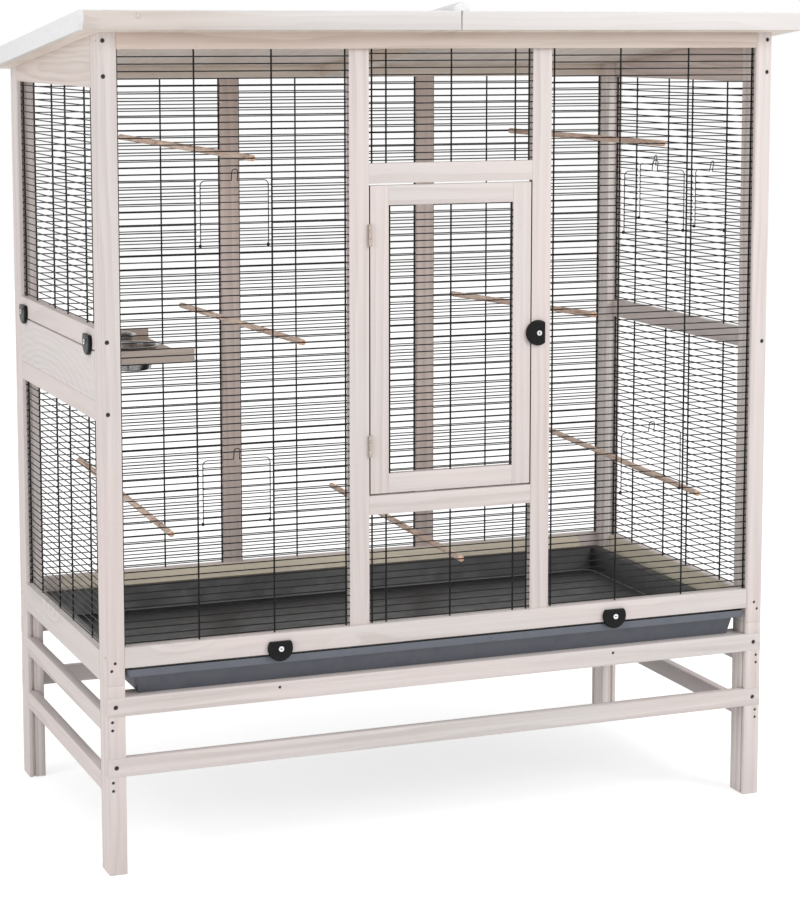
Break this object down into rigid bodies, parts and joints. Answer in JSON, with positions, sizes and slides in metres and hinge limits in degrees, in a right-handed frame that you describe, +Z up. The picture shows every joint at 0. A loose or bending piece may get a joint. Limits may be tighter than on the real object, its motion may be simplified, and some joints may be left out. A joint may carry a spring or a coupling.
{
  "type": "wooden bird cage",
  "caption": "Large wooden bird cage on a low stand: wire grilles on all sides, front door, slide-out tray, side hatch with feeding bowls, wire feeder flaps and a lean-to roof.",
  "frame": {"origin": "on the floor under the middle of the roof's outline", "axes": "+X to the right seen from the front, +Y from the front to the back, +Z up"},
  "size_m": [1.32, 0.68, 1.4572],
  "materials": {
    "washed_wood": "whitewashed, matt, fine grain",
    "roof_paint": "white painted boards, matt",
    "wire": "black lacquered wire",
    "flap_wire": "black lacquered wire",
    "dark_steel": "dark zinc",
    "bright_steel": "bright zinc",
    "zinc": "pale zinc",
    "latch_plastic": "charcoal, satin",
    "tray_sheet": "slate grey, satin",
    "bowl_steel": "stainless, bright",
    "perch_wood": "bare wood"
  },
  "bodies": {
    "frame": {"leg_front_left": "washed_wood", "leg_front_right": "washed_wood", "leg_back_left": "washed_wood", "leg_back_right": "washed_wood", "stand_rail_front_upper": "washed_wood", "stand_rail_front_lower": "washed_wood", "stand_rails_back": "washed_wood", "stand_rails_side": "washed_wood", "post_front_left": "washed_wood", "post_front_right": "washed_wood", "post_back_left": "washed_wood", "post_back_right": "washed_wood", "front_bottom_rail": "washed_wood", "front_top_rail": "washed_wood", "front_mid_posts": "washed_wood", "door_surround_rails": "washed_wood", "back_bottom_board": "washed_wood", "back_mid_posts": "washed_wood", "back_top_rail": "washed_wood", "side_bottom_boards": "washed_wood", "gable_boards": "washed_wood", "side_mid_rails": "washed_wood", "roof_rafter": "washed_wood", "roof_left": "roof_paint", "roof_right": "roof_paint", "roof_strip": "roof_paint", "grille_front_left": "wire", "grille_front_right": "wire", "grille_over_door": "wire", "grille_under_door": "wire", "grille_left_upper": "wire", "grille_left_lower": "wire", "grille_right_upper": "wire", "grille_right_lower": "wire", "grilles_back": "wire", "perches": "perch_wood", "cage_screws": "dark_steel", "stand_bolts": "dark_steel", "latch_screws": "bright_steel", "hinge_leaves_post": "zinc"},
    "door": {"hinge_leaves_door": "zinc", "door_stiles": "washed_wood", "door_rails": "washed_wood", "door_grille": "wire"},
    "door_latch_body": {"door_latch": "latch_plastic"},
    "tray_body": {"tray": "tray_sheet"},
    "tray_latch_left_body": {"tray_latch_left": "latch_plastic"},
    "tray_latch_right_body": {"tray_latch_right": "latch_plastic"},
    "feeder": {"hatch": "washed_wood", "feeder_shelf": "washed_wood", "feeder_rails": "washed_wood"},
    "hatch_latch_front_body": {"hatch_latch_front": "latch_plastic"},
    "hatch_latch_back_body": {"hatch_latch_back": "latch_plastic"},
    "bowl_front_body": {"bowl_front": "bowl_steel"},
    "bowl_back_body": {"bowl_back": "bowl_steel"},
    "flap_left_upper_body": {"flap_left_upper": "flap_wire"},
    "flap_left_lower_body": {"flap_left_lower": "flap_wire"},
    "flap_right_upper_body": {"flap_right_upper": "flap_wire"},
    "flap_right_lower_body": {"flap_right_lower": "flap_wire"},
    "flap_side_front_body": {"flap_side_front": "flap_wire"},
    "flap_side_back_body": {"flap_side_back": "flap_wire"}
  },
  "joints": [
    {"name": "door_hinge", "type": "hinge", "parent": "frame", "child": "door", "pos_m": [-0.149, -0.2951, 0.882], "axis": [0, 0, -1], "range_deg": [0, 110]},
    {"name": "door_latch_pivot", "type": "hinge", "parent": "frame", "child": "door_latch_body", "pos_m": [0.1655, -0.292, 0.884], "axis": [0, -1, 0], "range_deg": [0, 180]},
    {"name": "tray_slide", "type": "slide", "parent": "frame", "child": "tray_body", "axis": [0, -1, 0], "range_m": [0, 0.42]},
    {"name": "tray_latch_left_pivot", "type": "hinge", "parent": "frame", "child": "tray_latch_left_body", "pos_m": [-0.317, -0.3, 0.3648], "axis": [0, -1, 0], "range_deg": [0, 180]},
    {"name": "tray_latch_right_pivot", "type": "hinge", "parent": "frame", "child": "tray_latch_right_body", "pos_m": [0.317, -0.3, 0.3648], "axis": [0, -1, 0], "range_deg": [0, 180]},
    {"name": "feeder_slide", "type": "slide", "parent": "frame", "child": "feeder", "axis": [-1, 0, 0], "range_m": [0, 0.17]},
    {"name": "hatch_latch_front_pivot", "type": "hinge", "parent": "frame", "child": "hatch_latch_front_body", "pos_m": [-0.62, -0.215, 0.8955], "axis": [-1, 0, 0], "range_deg": [0, 180]},
    {"name": "hatch_latch_back_pivot", "type": "hinge", "parent": "frame", "child": "hatch_latch_back_body", "pos_m": [-0.62, 0.255, 0.8955], "axis": [-1, 0, 0], "range_deg": [0, 180]},
    {"name": "bowl_front_lift", "type": "slide", "parent": "feeder", "child": "bowl_front_body", "axis": [0, 0, 1], "range_m": [0, 0.1]},
    {"name": "bowl_back_lift", "type": "slide", "parent": "feeder", "child": "bowl_back_body", "axis": [0, 0, 1], "range_m": [0, 0.1]},
    {"name": "flap_left_upper_hinge", "type": "hinge", "parent": "frame", "child": "flap_left_upper_body", "pos_m": [-0.38925, -0.291, 1.055], "axis": [1, 0, 0], "range_deg": [0, 95]},
    {"name": "flap_left_lower_hinge", "type": "hinge", "parent": "frame", "child": "flap_left_lower_body", "pos_m": [-0.38925, -0.291, 0.587], "axis": [1, 0, 0], "range_deg": [0, 95]},
    {"name": "flap_right_upper_hinge", "type": "hinge", "parent": "frame", "child": "flap_right_upper_body", "pos_m": [0.39125, -0.291, 1.055], "axis": [1, 0, 0], "range_deg": [0, 95]},
    {"name": "flap_right_lower_hinge", "type": "hinge", "parent": "frame", "child": "flap_right_lower_body", "pos_m": [0.39125, -0.291, 0.587], "axis": [1, 0, 0], "range_deg": [0, 95]},
    {"name": "flap_side_front_hinge", "type": "hinge", "parent": "frame", "child": "flap_side_front_body", "pos_m": [0.611, -0.095, 1.039], "axis": [0, 1, 0], "range_deg": [0, 95]},
    {"name": "flap_side_back_hinge", "type": "hinge", "parent": "frame", "child": "flap_side_back_body", "pos_m": [0.611, 0.135, 1.039], "axis": [0, 1, 0], "range_deg": [0, 95]}
  ]
}
